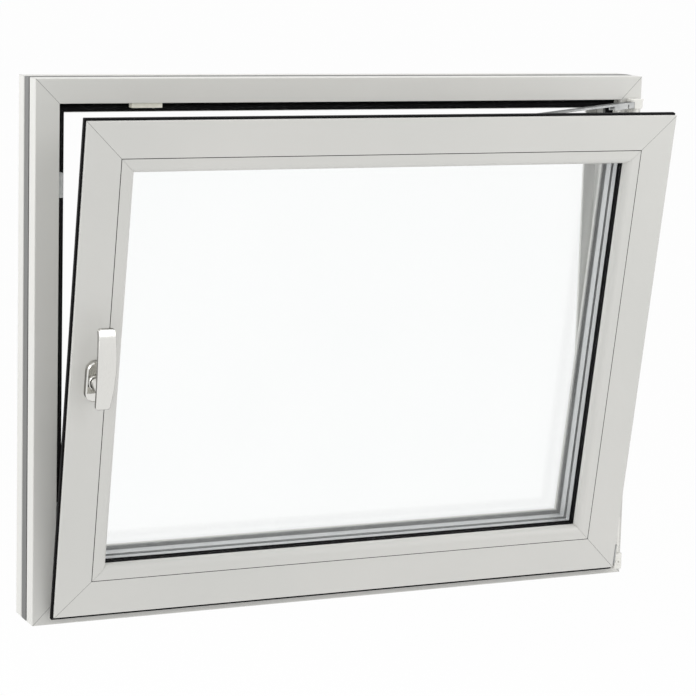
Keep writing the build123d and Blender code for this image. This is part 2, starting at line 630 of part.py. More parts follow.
def drain_slots():
    """Slots through the outer wall of the sill, where water leaves its chamber."""
    outline = Plane.XZ * SlotOverall(DRAIN_LENGTH, DRAIN_HEIGHT)
    slot = extrude(outline, amount=2 * SHELL_WALL, both=True)
    return [Pos(sign * DRAIN_FROM_MIDDLE, OUTER_FACE, DRAIN_RISE) * slot for sign in (-1, 1)]


def frame_parts():
    """Frame members, insulating strips and centre gasket."""
    names = {"sill": "frame_sill", "left": "frame_jamb_left"}
    names |= {"head": "frame_head", "right": "frame_jamb_right"}
    size = (WINDOW_WIDTH, WINDOW_HEIGHT)
    parts = {}
    for side, name in names.items():
        shells = [member(shell, side, *size, MITRE_GAP) for shell in frame_shells()]
        if side == "sill":
            shells[1] -= drain_slots()
        parts[name] = Compound(shells)
        parts[name + "_strips"] = Compound([member(strip, side, *size) for strip in frame_strips()])
    parts["frame_rebate_gasket"] = ring(rebate_gasket(), *size)
    return parts


def sash_parts():
    """Sash members, insulating strips, beads, seals and glazing, in the tilted place."""
    names = {"sill": "sash_bottom_rail", "left": "sash_left_stile"}
    names |= {"head": "sash_top_rail", "right": "sash_right_stile"}
    beads = {"sill": "bead_bottom", "left": "bead_left", "head": "bead_top", "right": "bead_right"}
    size = (SASH_WIDTH, SASH_HEIGHT)
    parts = {}
    for side, name in names.items():
        shells = [member(shell, side, *size, MITRE_GAP) for shell in sash_shells()]
        parts[name] = Compound(shells)
        parts[name + "_strips"] = Compound([member(strip, side, *size) for strip in sash_strips()])
        parts[beads[side]] = member(bead(), side, *size, MITRE_GAP)
    parts["sash_overlap_gasket"] = ring(overlap_gasket(), *size) - tab_notch()
    inner, outer = glazing_gaskets()
    parts["glazing_gasket_inner"] = ring(inner, *size)
    parts["glazing_gasket_outer"] = ring(outer, *size)
    for number, name in enumerate(("glass_inner_pane", "glass_middle_pane", "glass_outer_pane")):
        parts[name] = pane(number)
    parts["glass_spacers"] = Compound([spacer(number) for number in range(PANES - 1)])
    stile = parts["sash_left_stile"]
    parts["sash_left_stile"] = Compound([shell - handle_place() * spindle_bore() for shell in stile.solids()])
    parts["handle_rosette"] = handle_place() * rosette()
    parts["handle_lever"] = handle_place() * handle_lever()
    parts["handle_spindle"] = handle_place() * spindle()
    parts["faceplate_left"] = faceplate("left", (-1, 1))
    parts["faceplate_top"] = faceplate("head", (1,))
    parts["faceplate_bottom"] = faceplate("sill", ())
    parts["stay_slider"] = slider()
    parts["corner_tab"] = corner_tab()
    return {name: tilted(shape) for name, shape in parts.items()}


def strike_parts():
    """Strikes on the frame's head, left jamb and sill."""
    half_width, half_height = WINDOW_WIDTH / 2, WINDOW_HEIGHT / 2
    jamb_strike = strike(JAMB_STRIKE_LENGTH)
    return {
        "strike_head": on_frame(strike(), "head", half_width - HEAD_STRIKE_FROM_LEFT),
        "strike_jamb_upper": on_frame(jamb_strike, "left", half_height - JAMB_STRIKE_FROM_TOP),
        "strike_jamb_lower": on_frame(jamb_strike, "left", JAMB_STRIKE_FROM_BOTTOM - half_height),
        "strike_sill": on_frame(strike(), "sill", SILL_STRIKE_FROM_LEFT - half_width),
    }


def hinge_parts():
    """Upper and lower hinge on the right jamb, with the stay arm."""
    stay_bearing, stay_pin = stay_hinge()
    corner_bearing, tilt_pin = corner_hinge()
    return {
        "stay_bearing": stay_bearing,
        "stay_arm": stay_arm(),
        "stay_cap": stay_cap(),
        "corner_bearing": corner_bearing,
        "hinge_pins": Compound([stay_pin, tilt_pin]),
    }


def main():
    os.makedirs("parts", exist_ok=True)
    parts = {**frame_parts(), **sash_parts(), **strike_parts(), **hinge_parts()}
    for name, shape in parts.items():
        shape.label = name
        export_step(shape, f"parts/{name}.step")
        print(name, len(shape.solids()), round(shape.volume))


main()
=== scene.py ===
# %% [markdown]
# # A tilt and turn window in Blender
#
# The window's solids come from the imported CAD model, as a fixed frame that this script dresses.
# Nothing of it is moved or reshaped here. What the script adds is the finish of every piece, the
# thin trim and small fasteners that the solids leave out, and a plain studio to see them in.

import math

import bpy
from mathutils import Matrix, Vector


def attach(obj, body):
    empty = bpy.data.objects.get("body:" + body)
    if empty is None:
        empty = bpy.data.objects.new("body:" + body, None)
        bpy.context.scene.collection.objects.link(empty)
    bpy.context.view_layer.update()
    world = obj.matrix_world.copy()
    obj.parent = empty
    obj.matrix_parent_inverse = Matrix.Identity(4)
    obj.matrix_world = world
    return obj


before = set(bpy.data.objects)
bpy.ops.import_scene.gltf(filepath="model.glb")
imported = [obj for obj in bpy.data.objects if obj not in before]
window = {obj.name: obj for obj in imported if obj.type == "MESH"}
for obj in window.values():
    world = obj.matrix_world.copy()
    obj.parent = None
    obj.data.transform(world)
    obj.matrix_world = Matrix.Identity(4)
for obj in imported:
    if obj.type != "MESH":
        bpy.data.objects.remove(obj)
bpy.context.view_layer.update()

# %% [markdown]
# First, three helpers. Every finish in this lesson is one Principled shader whose colour,
# roughness and bump come from nodes that read Object coordinates. Each piece sits at the origin
# and unturned, so one metre of pattern is one metre of window, and a pattern runs on from piece
# to piece. The helpers that add and join nodes serve the world's light too.

# %% A blank finish with its shader at hand
def blank_finish(name, roughness, metallic=0.0):
    finish = bpy.data.materials.new(name)
    finish.use_nodes = True
    shader = finish.node_tree.nodes["Principled BSDF"]
    shader.inputs["Roughness"].default_value = roughness
    shader.inputs["Metallic"].default_value = metallic
    return finish, shader


def add_node(owner, kind, **settings):
    node = owner.node_tree.nodes.new(kind)
    for name, value in settings.items():
        setattr(node, name, value)
    return node


def join(owner, out_socket, in_socket):
    owner.node_tree.links.new(out_socket, in_socket)


def tell(finish):
    print(finish.name, "is made of", len(finish.node_tree.nodes), "nodes")


# %% [markdown]
# Most surfaces differ from a flat colour in two ways: a slow cloudiness that is read from across
# a room, and a fine grain that is read up close. Both are noise at different scales, stretched
# along an axis where the real surface was drawn, brushed or extruded. Nearly all of a noise lies
# in the middle of its range, so that middle is what drives a number or a colour.

# %% Noise that drives colour, roughness and bump
NOISE_LOW, NOISE_HIGH = 0.3, 0.7


def noise(finish, scale, stretch=(1, 1, 1), detail=3.0, turn=(0, 0, 0)):
    place = add_node(finish, "ShaderNodeTexCoord")
    mapping = add_node(finish, "ShaderNodeMapping")
    mapping.inputs["Scale"].default_value = stretch
    mapping.inputs["Rotation"].default_value = turn
    texture = add_node(finish, "ShaderNodeTexNoise")
    texture.inputs["Scale"].default_value = scale
    texture.inputs["Detail"].default_value = detail
    join(finish, place.outputs["Object"], mapping.inputs["Vector"])
    join(finish, mapping.outputs["Vector"], texture.inputs["Vector"])
    return texture.outputs["Fac"]


def between(finish, factor, low, high, socket):
    """Lets a noise run a number between two values."""
    ramp = add_node(finish, "ShaderNodeMapRange")
    ramp.inputs["From Min"].default_value = NOISE_LOW
    ramp.inputs["From Max"].default_value = NOISE_HIGH
    ramp.inputs["To Min"].default_value = low
    ramp.inputs["To Max"].default_value = high
    join(finish, factor, ramp.inputs["Value"])
    join(finish, ramp.outputs["Result"], socket)


def linear(grey):
    """A colour as it is seen on screen, from 0 to 255, as the light value that Blender wants."""
    share = grey / 255
    return ((share + 0.055) / 1.055) ** 2.4 if share > 0.04045 else share / 12.92


def tint(rgb):
    return tuple(linear(value) for value in rgb) + (1.0,)


def two_tone(finish, factor, dark, light, socket):
    """Mixes two colours, each given as on screen, by a noise."""
    ramp = add_node(finish, "ShaderNodeValToRGB")
    low, high = ramp.color_ramp.elements
    low.position, high.position = NOISE_LOW, NOISE_HIGH
    low.color, high.color = tint(dark), tint(light)
    join(finish, factor, ramp.inputs["Fac"])
    join(finish, ramp.outputs["Color"], socket)


def bump(finish, shader, height, strength, distance=0.0001):
    node = add_node(finish, "ShaderNodeBump")
    node.inputs["Strength"].default_value = strength
    node.inputs["Distance"].default_value = distance
    join(finish, height, node.inputs["Height"])
    join(finish, node.outputs["Normal"], shader.inputs["Normal"])


# %% [markdown]
# The aluminium profiles are stove-lacquered in a light, slightly warm grey. Lacquer levels out
# while it bakes but keeps a faint orange peel, and its gloss is that of satin paint. The peel is
# a millimetre wide, so it shows only where light grazes the profile.

# %% Lacquer on the profiles
def lacquer():
    finish, shader = blank_finish("stoved_lacquer", 0.38)
    cloud = noise(finish, 2.5)
    two_tone(finish, cloud, (205, 205, 201), (211, 210, 206), shader.inputs["Base Color"])
    between(finish, noise(finish, 40), 0.34, 0.44, shader.inputs["Roughness"])
    peel = noise(finish, 900, detail=1.0)
    bump(finish, shader, peel, strength=0.25, distance=0.00012)
    return finish


profile_lacquer = lacquer()
tell(profile_lacquer)

# %% [markdown]
# The insulating strips between the two shells are glass-filled polyamide, extruded, so they are
# a dull dark grey and marked with fine lines along their run.

# %% Polyamide of the insulating strips
def polyamide():
    finish, shader = blank_finish("drawn_polyamide", 0.6)
    fibres = noise(finish, 300, stretch=(1, 8, 1))
    two_tone(finish, fibres, (96, 97, 97), (112, 112, 110), shader.inputs["Base Color"])
    between(finish, fibres, 0.55, 0.7, shader.inputs["Roughness"])
    bump(finish, shader, fibres, strength=0.3, distance=0.0002)
    return finish


strip_polyamide = polyamide()
tell(strip_polyamide)

# %% [markdown]
# Seals are black rubber. The outer seal of the glass is given a grey colour, which is painted
# reflection: it stands for the white that the panes in front of it reflect over a black seal.
# Rubber is matt and sends back hardly any shine, so its specular level is turned down, and a
# faint bloom, a dusty film, lifts its colour a little in places.

# %% Rubber of the seals
RUBBER_SHINE = 0.08


def rubber(name, dark, light):
    finish, shader = blank_finish(name, 0.7)
    shader.inputs["Specular IOR Level"].default_value = RUBBER_SHINE
    bloom = noise(finish, 60)
    two_tone(finish, bloom, dark, light, shader.inputs["Base Color"])
    between(finish, bloom, 0.62, 0.8, shader.inputs["Roughness"])
    bump(finish, shader, noise(finish, 1200, detail=1.0), strength=0.3)
    return finish


seal_rubber = rubber("bloomed_rubber", (8, 8, 9), (20, 20, 21))
# Grey as painted reflection: the panes' white reflection over a black seal.
outer_seal_painted_reflection = rubber("rubber_painted_reflection", (132, 133, 132), (150, 150, 148))
tell(seal_rubber)
tell(outer_seal_painted_reflection)

# %% [markdown]
# A pane reflects a little and lets nearly everything through. Six glass faces lie behind each
# other here, so the finish mixes a clear shader with a mirror and skips refraction, which in a
# flat pane only shifts what is behind it by a millimetre. The mirror's share is Schlick's: a
# fixed share face-on, rising with the fifth power of how edge-on the pane is seen. The Fresnel
# node would take a ray inside the unrefracted pane for one that is caught in it, and turn a pane
# that is seen from the side dark. A very faint film of dust, cloudy, keeps the surface uneven.

# %% Glass of the panes
FACE_ON_MIRROR = 0.045
CLEAR_GLASS = (0.998, 0.9995, 0.999, 1.0)


def glass():
    finish, shader = blank_finish("float_glass", 0.02, metallic=1.0)
    dust = noise(finish, 6)
    two_tone(finish, dust, (248, 250, 250), (253, 254, 254), shader.inputs["Base Color"])
    between(finish, noise(finish, 12), 0.01, 0.05, shader.inputs["Roughness"])
    clear = add_node(finish, "ShaderNodeBsdfTransparent")
    clear.inputs["Color"].default_value = CLEAR_GLASS
    edge_on = add_node(finish, "ShaderNodeLayerWeight")
    fifth = add_node(finish, "ShaderNodeMath", operation="POWER")
    fifth.inputs[1].default_value = 5.0
    share = add_node(finish, "ShaderNodeMath", operation="MULTIPLY_ADD")
    share.inputs[1].default_value = 1.0 - FACE_ON_MIRROR
    share.inputs[2].default_value = FACE_ON_MIRROR
    mix = add_node(finish, "ShaderNodeMixShader")
    surface = finish.node_tree.nodes["Material Output"].inputs["Surface"]
    join(finish, edge_on.outputs["Facing"], fifth.inputs[0])
    join(finish, fifth.outputs["Value"], share.inputs[0])
    join(finish, share.outputs["Value"], mix.inputs["Fac"])
    join(finish, clear.outputs["BSDF"], mix.inputs[1])
    join(finish, shader.outputs["BSDF"], mix.inputs[2])
    join(finish, mix.outputs["Shader"], surface)
    return finish


pane_glass = glass()
tell(pane_glass)

# %% [markdown]
# The spacer bars between the panes are rolled from bright aluminium strip. Rolling leaves fine
# lines along the bar.

# %% Aluminium of the spacer bars
def rolled_aluminium():
    finish, shader = blank_finish("rolled_aluminium", 0.4, metallic=0.25)
    lines = noise(finish, 500, stretch=(0.05, 1, 0.05))
    two_tone(finish, lines, (190, 192, 193), (210, 211, 211), shader.inputs["Base Color"])
    between(finish, lines, 0.34, 0.5, shader.inputs["Roughness"])
    bump(finish, shader, lines, strength=0.15)
    return finish


spacer_aluminium = rolled_aluminium()
tell(spacer_aluminium)

# %% [markdown]
# The stay, the locking bars and their cams are zinc-plated steel, silver with a cloudy lustre. On
# a metal, the shader's specular tint is its colour at a grazing view; it is set dark here, as
# painted shade that darkens the steel where it is seen edge-on.

# %% Plated steel of the gear
# Painted shade: a dark grazing tint that darkens the steel's edges.
STEEL_PAINTED_EDGE_TINT = (0.3, 0.3, 0.31, 1)


def plated_steel():
    finish, shader = blank_finish("zinc_plated_steel", 0.34, metallic=1.0)
    shader.inputs["Specular Tint"].default_value = STEEL_PAINTED_EDGE_TINT
    cloud = noise(finish, 35)
    two_tone(finish, cloud, (160, 162, 162), (186, 187, 186), shader.inputs["Base Color"])
    between(finish, noise(finish, 90), 0.26, 0.45, shader.inputs["Roughness"])
    bump(finish, shader, noise(finish, 700), strength=0.12)
    return finish


gear_steel = plated_steel()
tell(gear_steel)

# %% [markdown]
# The hinges' bearings and the cap are moulded in near white. A moulding has a satin face with a
# barely visible flow pattern.

# %% White of the hinges
def moulded_white():
    finish, shader = blank_finish("moulded_white", 0.3)
    flow = noise(finish, 25, stretch=(1, 1, 0.4))
    two_tone(finish, flow, (224, 223, 217), (233, 232, 227), shader.inputs["Base Color"])
    between(finish, flow, 0.26, 0.36, shader.inputs["Roughness"])
    bump(finish, shader, noise(finish, 1100, detail=1.0), strength=0.15)
    return finish


hinge_white = moulded_white()
tell(hinge_white)

# %% [markdown]
# The strikes that the cams lock behind are die-cast zinc alloy. Those in the head and on the sill
# are coated in a warm ivory, and those on the jambs are bare: a dull blue-grey with a skin that
# is cloudy where the melt met the mould.

# %% Die-cast strikes
def die_cast(name, dark, light, metallic):
    finish, shader = blank_finish(name, 0.45, metallic=metallic)
    skin = noise(finish, 120)
    two_tone(finish, skin, dark, light, shader.inputs["Base Color"])
    between(finish, skin, 0.38, 0.55, shader.inputs["Roughness"])
    bump(finish, shader, noise(finish, 800, detail=1.0), strength=0.2)
    return finish


strike_ivory = die_cast("ivory_coated_zinc", (221, 219, 207), (232, 230, 219), metallic=0.0)
strike_grey = die_cast("bare_zinc", (188, 191, 191), (204, 206, 206), metallic=0.3)
tell(strike_ivory)
tell(strike_grey)

# %% [markdown]
# The handle is nickel-plated: satin along the lever, polished on the rosette. Satin brushing is
# noise stretched hard along the lever, which is Z leant by the sash's tilt, so the pattern turns
# by the same angle. The specular tint, the colour at a grazing view, is set darker than the
# steel's, as painted shade: it draws a dark outline round the handle.

# %% Brushed nickel of the handle
SASH_LEAN = math.radians(10)
# Painted shade: a dark grazing tint that outlines the handle.
NICKEL_PAINTED_OUTLINE_TINT = (0.10, 0.10, 0.105, 1)


def nickel(name, roughness, spread, grain):
    finish, shader = blank_finish(name, roughness, metallic=1.0)
    shader.inputs["Specular Tint"].default_value = NICKEL_PAINTED_OUTLINE_TINT
    brushing = noise(finish, 1400, stretch=(1, 1, 0.03), detail=4.0, turn=(-SASH_LEAN, 0, 0))
    two_tone(finish, brushing, (219, 218, 214), (226, 225, 221), shader.inputs["Base Color"])
    between(finish, brushing, roughness - spread, roughness + spread, shader.inputs["Roughness"])
    bump(finish, shader, brushing, strength=grain)
    return finish


satin_nickel = nickel("satin_nickel", roughness=0.20, spread=0.04, grain=0.03)
polished_nickel = nickel("polished_nickel", roughness=0.08, spread=0.02, grain=0.01)
tell(satin_nickel)
tell(polished_nickel)

# %% [markdown]
# Which piece takes which finish is a short table of name beginnings: the first that fits counts.
# Only the insulating strips go by the end of their names.

# %% Give every piece its finish
FINISHES = [
    (("glazing_gasket_outer",), outer_seal_painted_reflection),
    (("frame_rebate_gasket", "sash_overlap_gasket", "glazing_gasket"), seal_rubber),
    (("glass_spacers",), spacer_aluminium),
    (("glass_",), pane_glass),
    (("handle_lever",), satin_nickel),
    (("handle_",), polished_nickel),
    (("strike_head", "strike_sill"), strike_ivory),
    (("strike_",), strike_grey),
    (("stay_bearing", "stay_cap", "corner_bearing"), hinge_white),
    (("stay_", "corner_tab", "faceplate_", "hinge_pins"), gear_steel),
    (("frame_", "sash_", "bead_"), profile_lacquer),
]
for name, piece in window.items():
    if name.endswith("_strips"):
        finish = strip_polyamide
    else:
        finish = next(chosen for starts, chosen in FINISHES if name.startswith(starts))
    for material_slot in piece.material_slots:
        material_slot.material = finish
print("dressed", len(window), "pieces")

# %% [markdown]
# The sash hangs open, leant into the room about its lower hinge. Small pieces that belong to it
# are easier to model upright, where its edges run along X and Z, and to lean afterwards. One
# matrix does that for all: it takes the eye of the sash's tab to the pin of the hinge and leans
# by the tilt.

# %% The lean of the sash, and a last step for every new piece
TAB_EYE = Vector((0, -0.054, 0.038))
HINGE_PIN = Vector((0, -0.066, 0.027))
LEAN = Matrix.Rotation(SASH_LEAN, 4, "X")
SASH_TILT = Matrix.Translation(HINGE_PIN) @ LEAN @ Matrix.Translation(-TAB_EYE)


def hand_over(piece, finish, on_sash=True):
    """Leans a piece with the sash, puts its place into its mesh, and lets it ride on the window."""
    bpy.ops.object.select_all(action="DESELECT")
    piece.select_set(True)
    bpy.context.view_layer.objects.active = piece
    if on_sash:
        piece.matrix_world = SASH_TILT @ piece.matrix_world
    bpy.ops.object.transform_apply(location=True, rotation=True, scale=True)
    piece.data.materials.clear()
    piece.data.materials.append(finish)
    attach(piece, "window")
    print(piece.name, "has", len(piece.data.polygons), "faces")


print("the tilt takes the sash's eye to", [round(value, 4) for value in SASH_TILT @ TAB_EYE])

# %% [markdown]
# Seals, joints and mitre lines are all thin strips that start as a plane that faces the room and
# is extruded to its depth. Three short helpers do what they share, and a fourth rounds an edge.

# %% Planes, depth and soft edges
def upright_plane(centre, width, height, turn=0.0):
    """Adds a plane that faces the room, turned about y."""
    bpy.ops.object.select_all(action="DESELECT")
    bpy.ops.mesh.primitive_plane_add(size=1, location=centre, rotation=(math.pi / 2, 0, 0))
    plane = bpy.context.object
    plane.scale = (width, height, 1)
    plane.rotation_euler.y = turn
    bpy.ops.object.transform_apply(location=True, rotation=True, scale=True)
    return plane


def extrude_back(depth):
    """Gives all faces of the mesh in edit mode a depth along y, and leaves edit mode."""
    bpy.ops.mesh.select_all(action="SELECT")
    bpy.ops.mesh.extrude_region_move(TRANSFORM_OT_translate={"value": (0, depth, 0)})
    bpy.ops.mesh.select_all(action="SELECT")
    bpy.ops.mesh.normals_make_consistent(inside=False)
    bpy.ops.object.mode_set(mode="OBJECT")


def join_pieces(pieces, name):
    bpy.ops.object.select_all(action="DESELECT")
    for piece in pieces:
        piece.select_set(True)
    bpy.context.view_layer.objects.active = pieces[0]
    bpy.ops.object.join()
    pieces[0].name = pieces[0].data.name = name
    return pieces[0]


def round_off(piece, width, segments=2):
    bevel = piece.modifiers.new("soft_edge", "BEVEL")
    bevel.width, bevel.segments = width, segments
    bpy.ops.object.modifier_apply(modifier=bevel.name)


# %% [markdown]
# Most of the strips are rings, mitred at four corners. A ring is a plane that is inset, emptied
# and extruded to its depth, which keeps the corners true without drawing four bars.

# %% A ring of strip
def strip_ring(name, low, high, reach, front, back):
    """A ring from low to high in x and z outside, reach wide, and from front to back in y."""
    centre = ((low[0] + high[0]) / 2, front, (low[1] + high[1]) / 2)
    piece = upright_plane(centre, high[0] - low[0], high[1] - low[1])
    piece.name = piece.data.name = name
    bpy.ops.object.mode_set(mode="EDIT")
    bpy.ops.mesh.select_all(action="SELECT")
    bpy.ops.mesh.inset(thickness=reach)
    bpy.ops.mesh.delete(type="FACE")
    extrude_back(back - front)
    return piece


# %% [markdown]
# The seal under the sash's flange ends in a soft lip, which stands out round the sash as its
# black outline. It hangs lowest under the sash, where it sheds water, and on the hinge side it is
# trimmed flush, to let the hinge pass.

# %% Lip of the overlap seal
LIP_LOW, LIP_HIGH = (-0.5240, 0.0235), (0.5209, 0.8640)
LIP_REACH, LIP_FRONT, LIP_BACK = 0.0060, -0.0533, -0.0455

lip = strip_ring("overlap_seal_lip", LIP_LOW, LIP_HIGH, LIP_REACH, LIP_FRONT, LIP_BACK)
round_off(lip, 0.0008)
hand_over(lip, seal_rubber)

# %% [markdown]
# The glazing bead is clipped into the sash, and a hair-thin gap stays between the two, dark with
# shade. A bare gap of that size would be lost in the render, so a fine black strip lies in it as
# painted shade.

# %% Painted shade in the joint between sash and bead
SASH_FACE_Y = -0.059
JOINT_LOW, JOINT_HIGH = (-0.4614, 0.0886), (0.4614, 0.8014)
JOINT_WIDTH, JOINT_FRONT, JOINT_BACK = 0.0010, SASH_FACE_Y - 0.00005, -0.0582

# A black strip in the gap: painted shade.
bead_gap_shade = strip_ring("bead_gap_painted_shade", JOINT_LOW, JOINT_HIGH, JOINT_WIDTH, JOINT_FRONT, JOINT_BACK)
hand_over(bead_gap_shade, seal_rubber)

# %% [markdown]
# Where two profiles meet at a mitre, a thin line of grey sealant fills the cut.

# %% Sealant in the mitres
def mitre_sealant():
    finish, shader = blank_finish("mitre_sealant", 0.6)
    smear = noise(finish, 150)
    two_tone(finish, smear, (108, 108, 106), (126, 126, 123), shader.inputs["Base Color"])
    between(finish, smear, 0.5, 0.7, shader.inputs["Roughness"])
    return finish


sealant = mitre_sealant()
tell(sealant)

# %% [markdown]
# Each line is a plane along the diagonal of a corner, extruded to a shallow bar whose edges are
# rounded off. The bar stands a hair proud of the profiles, or its face would flicker with theirs.
# Corners are given from the window's middle, so that one pair of points serves all four.

# %% Lines of sealant at the corners
SEALANT_WIDTH, SEALANT_DEPTH = 0.0007, 0.0004
SEALANT_PROUD, SEALANT_ROUNDING = 0.00004, 0.00008
FRAME_FACE_Y = -0.045
WINDOW_MIDDLE_Z = 0.445


def mitre_line(outer, inner, face):
    """A bar of sealant from an outer corner to an inner one, on the face at y."""
    (x0, z0), (x1, z1) = outer, inner
    middle = ((x0 + x1) / 2, face - SEALANT_PROUD, (z0 + z1) / 2)
    slope = -math.atan2(z1 - z0, x1 - x0)
    bar = upright_plane(middle, math.hypot(x1 - x0, z1 - z0), SEALANT_WIDTH, slope)
    bpy.ops.object.mode_set(mode="EDIT")
    extrude_back(SEALANT_DEPTH)
    round_off(bar, SEALANT_ROUNDING, segments=1)
    return bar


def four_mitres(name, outer_half, inner_half, face):
    bars = []
    for across in (-1, 1):
        for up in (-1, 1):
            outer = (across * outer_half[0], WINDOW_MIDDLE_Z + up * outer_half[1])
            inner = (across * inner_half[0], WINDOW_MIDDLE_Z + up * inner_half[1])
            bars.append(mitre_line(outer, inner, face))
    return join_pieces(bars, name)


frame_corner = ((0.5495, 0.4445), (0.5102, 0.4052))
sash_corner = ((0.5205, 0.4155), (0.4612, 0.3562))
frame_mitres = four_mitres("frame_mitre_sealant", *frame_corner, FRAME_FACE_Y)
hand_over(frame_mitres, sealant, on_sash=False)
sash_mitres = four_mitres("sash_mitre_sealant", *sash_corner, SASH_FACE_Y)
hand_over(sash_mitres, sealant)

# %% [markdown]
# The gasket that presses the glass is clipped under the bead, and its flap turns over the bead's
# inner face. The flap is what is seen of it, as a broad black line inside the bead.

# %% Flap of the glazing gasket
FLAP_LOW, FLAP_HIGH = (-0.4372, 0.1128), (0.4372, 0.7772)
FLAP_REACH, FLAP_FRONT, FLAP_BACK = 0.0009, -0.0425, -0.0331

flap = strip_ring("glazing_gasket_flap", FLAP_LOW, FLAP_HIGH, FLAP_REACH, FLAP_FRONT, FLAP_BACK)
round_off(flap, 0.0003)
hand_over(flap, seal_rubber)

# %% [markdown]
# Each spacer bar is bonded to its two panes with black butyl, which shows through the glass as a
# thin dark line along both edges of the bar. The four rings are joined into one piece.

# %% Butyl lines along the spacers
BUTYL_LOW, BUTYL_HIGH = (-0.4411, 0.1089), (0.4411, 0.7811)
BUTYL_REACH, BUTYL_WIDTH = 0.0005, 0.0012
BUTYL_FRONTS = (-0.0250, -0.0082, -0.0030, 0.0138)


def butyl():
    finish, shader = blank_finish("pressed_butyl", 0.6)
    smear = noise(finish, 200)
    two_tone(finish, smear, (92, 94, 96), (116, 118, 119), shader.inputs["Base Color"])
    between(finish, smear, 0.5, 0.7, shader.inputs["Roughness"])
    return finish


lines = [
    strip_ring("butyl", BUTYL_LOW, BUTYL_HIGH, BUTYL_REACH, front, front + BUTYL_WIDTH)
    for front in BUTYL_FRONTS
]
hand_over(join_pieces(lines, "butyl_lines"), butyl())

# %% [markdown]
# The screws are of one kind: a low domed head with a six-lobed recess. To shape it, faces and
# vertices are picked by their place. A pick is written in object mode and used in edit mode, and
# each change of mode lays the mesh out anew, so a vertex is remembered by its number.

# %% Pick the top of a mesh
def clear_selection(kind):
    """Deselects everything, in the mode for faces or vertices, and leaves edit mode."""
    bpy.ops.object.mode_set(mode="EDIT")
    bpy.ops.mesh.select_mode(type=kind)
    bpy.ops.mesh.select_all(action="DESELECT")
    bpy.ops.object.mode_set(mode="OBJECT")


def top_of(piece):
    return max(piece.data.polygons, key=lambda face: face.center.z)


def select_top(piece):
    """Leaves just the uppermost face selected, in edit mode."""
    clear_selection("FACE")
    top_of(piece).select = True
    bpy.ops.object.mode_set(mode="EDIT")


# %% [markdown]
# The head is modelled once from a cylinder. Its top is inset for the rim, raised for the dome and
# inset again. Six of the corners there are drawn in, which leaves the lobes between them, and the
# lobed face is pressed down for the recess.

# %% One screw head
HEAD_RADIUS, HEAD_HEIGHT, HEAD_CORNERS = 0.0033, 0.0012, 24
RIM_WIDTH, DOME_RISE, DOME_WIDTH = 0.0006, 0.0004, 0.0009
LOBE_TURN, LOBE_SLACK = math.radians(60), math.radians(5)
LOBE_WAIST, RECESS_DEPTH = 0.66, 0.0009


def screw_head():
    bpy.ops.object.select_all(action="DESELECT")
    bpy.ops.mesh.primitive_cylinder_add(
        vertices=HEAD_CORNERS, radius=HEAD_RADIUS, depth=HEAD_HEIGHT
    )
    head = bpy.context.object
    select_top(head)
    bpy.ops.mesh.inset(thickness=RIM_WIDTH)
    bpy.ops.transform.translate(value=(0, 0, DOME_RISE))
    bpy.ops.mesh.inset(thickness=DOME_WIDTH)
    bpy.ops.object.mode_set(mode="OBJECT")
    recess = list(top_of(head).vertices)
    clear_selection("VERT")
    for corner in (head.data.vertices[index] for index in recess):
        off = math.atan2(corner.co.y, corner.co.x) % LOBE_TURN
        corner.select = abs(off - LOBE_TURN / 2) < LOBE_SLACK
    bpy.ops.object.mode_set(mode="EDIT")
    bpy.ops.transform.resize(value=(LOBE_WAIST, LOBE_WAIST, 1), center_override=(0, 0, 0))
    select_top(head)
    bpy.ops.mesh.extrude_region_move(TRANSFORM_OT_translate={"value": (0, 0, -RECESS_DEPTH)})
    bpy.ops.object.mode_set(mode="OBJECT")
    return head


screw = screw_head()
print("a screw head has", len(screw.data.polygons), "faces")

# %% [markdown]
# A screw's place is the point on its seat and the direction that its head faces. The screws of
# the sash hold its locking bars and are placed upright, then leant; those of the frame hold the
# strikes and the blocks of the upper hinge.

# %% Where the screws sit
TO_LEFT, TO_RIGHT, UP, DOWN = (-1, 0, 0), (1, 0, 0), (0, 0, 1), (0, 0, -1)
BAR_Y, LEFT_BAR_X, TOP_BAR_Z, BOTTOM_BAR_Z = -0.0425, -0.5010, 0.8410, 0.0490
STRIKE_Y, HEAD_STRIKE_Z, SILL_STRIKE_Z, JAMB_STRIKE_X = -0.0325, 0.8420, 0.0480, -0.5020
BLOCK_X, BLOCK_Z = 0.5060, 0.8230

SASH_SCREWS = [((LEFT_BAR_X, BAR_Y, z), TO_LEFT) for z in (0.105, 0.320, 0.560, 0.785)]
SASH_SCREWS += [((x, BAR_Y, TOP_BAR_Z), UP) for x in (-0.440, -0.240, -0.020, 0.440)]
SASH_SCREWS += [((x, BAR_Y, BOTTOM_BAR_Z), DOWN) for x in (-0.440, -0.240, -0.020, 0.300)]
FRAME_SCREWS = [((-0.349, STRIKE_Y, HEAD_STRIKE_Z), DOWN), ((-0.375, STRIKE_Y, SILL_STRIKE_Z), UP)]
FRAME_SCREWS += [((JAMB_STRIKE_X, STRIKE_Y, z), TO_RIGHT) for z in (0.170, 0.710)]
FRAME_SCREWS += [((BLOCK_X, y, BLOCK_Z), TO_LEFT) for y in (-0.0388, -0.0283)]
print(len(SASH_SCREWS), "screws on the sash and", len(FRAME_SCREWS), "on the frame")

# %% [markdown]
# Each screw is a copy with its own mesh, turned from facing up to facing its way. The copies of
# the sash become one piece and those of the frame another, and the model that they were copied
# from is taken out.

# %% Place the screws
def set_screws(name, spots):
    copies = []
    for place, facing in spots:
        copy = screw.copy()
        copy.data = screw.data.copy()
        bpy.context.scene.collection.objects.link(copy)
        turn = Vector(facing).to_track_quat("Z", "Y").to_matrix().to_4x4()
        copy.matrix_world = Matrix.Translation(place) @ turn
        copies.append(copy)
    return join_pieces(copies, name)


